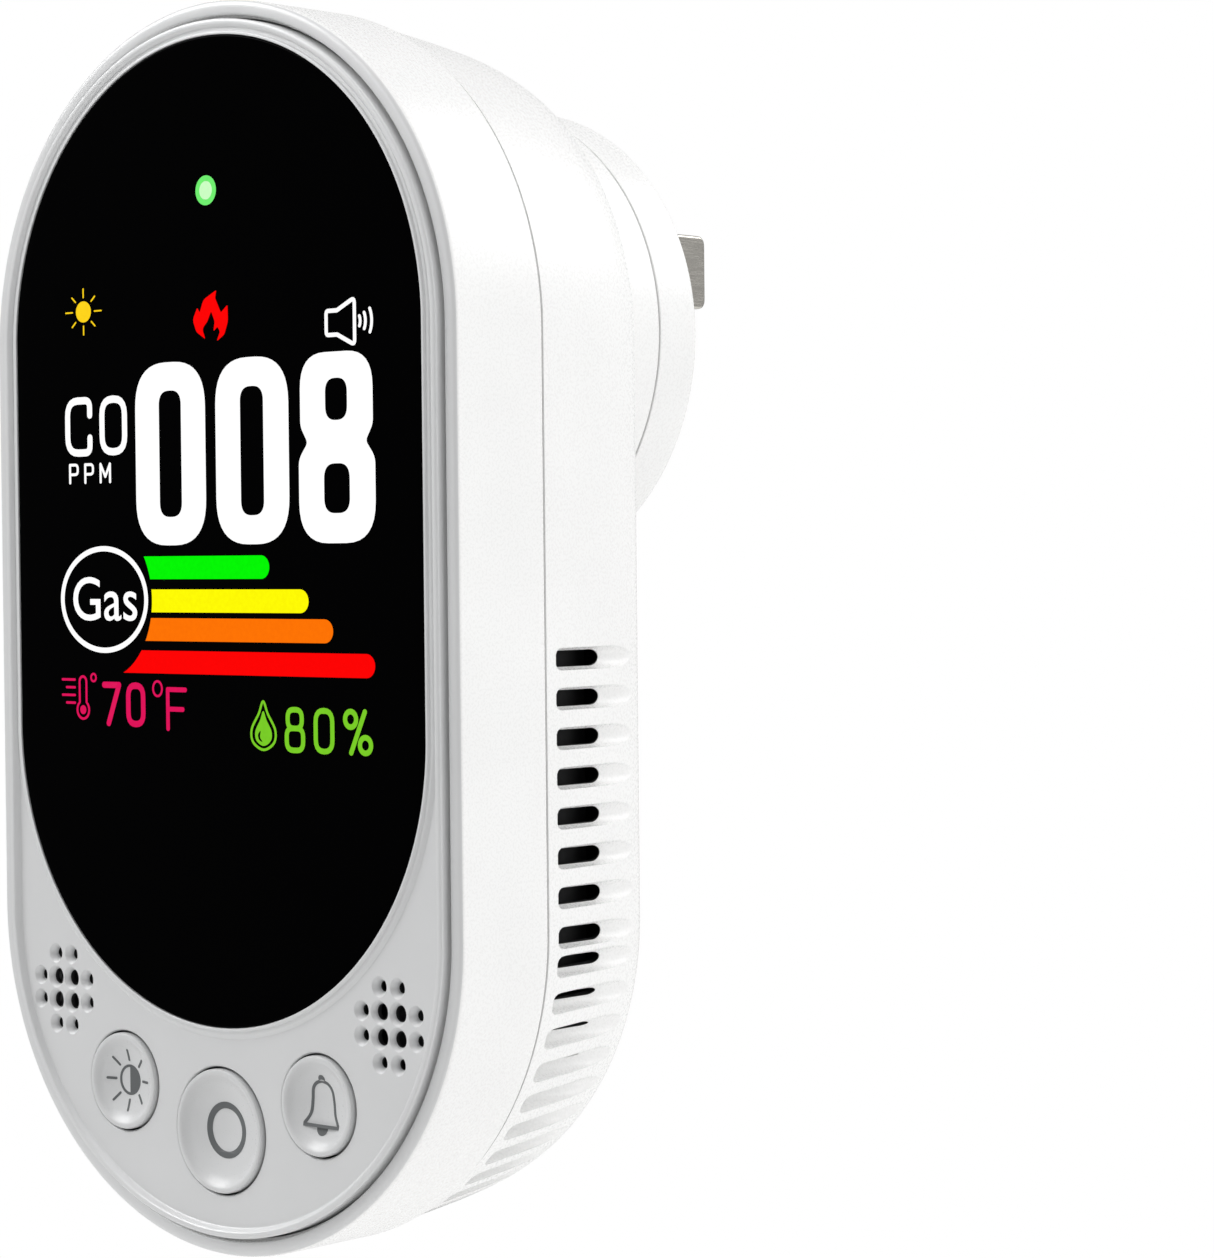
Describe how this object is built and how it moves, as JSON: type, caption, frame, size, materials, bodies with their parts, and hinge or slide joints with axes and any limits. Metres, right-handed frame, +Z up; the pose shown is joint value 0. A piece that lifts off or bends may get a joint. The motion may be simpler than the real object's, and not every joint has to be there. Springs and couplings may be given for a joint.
{
  "type": "carbon monoxide detector",
  "caption": "Capsule-shaped plug-in gas alarm with a black display, grey button panel, vented white case and twist-off plug head.",
  "frame": {"origin": "centre of the plug head's flat rear face, the face that meets the wall outlet", "axes": "+Y into the wall, +Z up along the housing, +X to the right of a person who faces the display"},
  "size_m": [0.052, 0.0521, 0.0972],
  "materials": {
    "white_shell": "moulded white ABS, satin gloss",
    "panel_grey": "fine silver-grey paint on plastic",
    "button_grey": "light silver-grey, satin",
    "black_lens": "polished black acrylic",
    "display_glass": "dark display glass",
    "diffuser": "translucent white",
    "flex_amber": "amber flex film",
    "black_plastic": "black moulded plastic",
    "board_black": "black solder mask",
    "sensor_steel": "plain steel",
    "tape_yellow": "yellow insulating tape",
    "varistor_blue": "blue epoxy coat",
    "contact_brass": "spring brass",
    "blade_nickel": "nickel-plated brass, satin"
  },
  "bodies": {
    "housing": {"front_shell": "white_shell", "rear_shell": "white_shell", "front_panel": "panel_grey", "display_lens": "black_lens", "lcd_module": "display_glass", "lcd_backlight": "diffuser", "lcd_flex": "flex_amber", "status_led": "diffuser", "main_board": "board_black", "brightness_switch": "black_plastic", "power_switch": "black_plastic", "alarm_switch": "black_plastic", "controller_chip": "black_plastic", "board_header": "black_plastic", "co_sensor": "sensor_steel", "gas_sensor": "sensor_steel", "climate_sensor": "button_grey", "buzzer": "black_plastic", "grille_mesh_left": "black_plastic", "grille_mesh_right": "black_plastic", "board_screw_left": "sensor_steel", "board_screw_right": "sensor_steel", "power_board": "board_black", "transformer": "tape_yellow", "filter_capacitor": "black_plastic", "surge_varistor": "varistor_blue", "input_fuse": "board_black", "contact_left": "contact_brass", "contact_right": "contact_brass", "case_screw_lower": "sensor_steel", "case_screw_upper": "sensor_steel", "latch_spring": "sensor_steel"},
    "plug_head": {"plug_cap": "white_shell", "plug_base": "white_shell", "blade_left": "blade_nickel", "blade_right": "blade_nickel", "plug_screw_left": "sensor_steel", "plug_screw_right": "sensor_steel"},
    "release_latch": {"release_latch": "white_shell"},
    "brightness_button": {"brightness_button": "button_grey"},
    "power_button": {"power_button": "button_grey"},
    "alarm_button": {"alarm_button": "button_grey"}
  },
  "joints": [
    {"name": "plug_twist", "type": "hinge", "parent": "housing", "child": "plug_head", "pos_m": [0, 0, 0], "axis": [0, 1, 0], "range_deg": [0, 30]},
    {"name": "latch_slide", "type": "slide", "parent": "housing", "child": "release_latch", "axis": [0.5446, 0, -0.8387], "range_m": [0, 0.0011], "stiffness_N_per_m": 400, "springref_m": -0.0015, "deforming": ["latch_spring"]},
    {"name": "brightness_press", "type": "slide", "parent": "housing", "child": "brightness_button", "axis": [0, 1, 0], "range_m": [0, 0.0008], "stiffness_N_per_m": 500, "springref_m": -0.001},
    {"name": "power_press", "type": "slide", "parent": "housing", "child": "power_button", "axis": [0, 1, 0], "range_m": [0, 0.0008], "stiffness_N_per_m": 500, "springref_m": -0.001},
    {"name": "alarm_press", "type": "slide", "parent": "housing", "child": "alarm_button", "axis": [0, 1, 0], "range_m": [0, 0.0008], "stiffness_N_per_m": 500, "springref_m": -0.001}
  ]
}
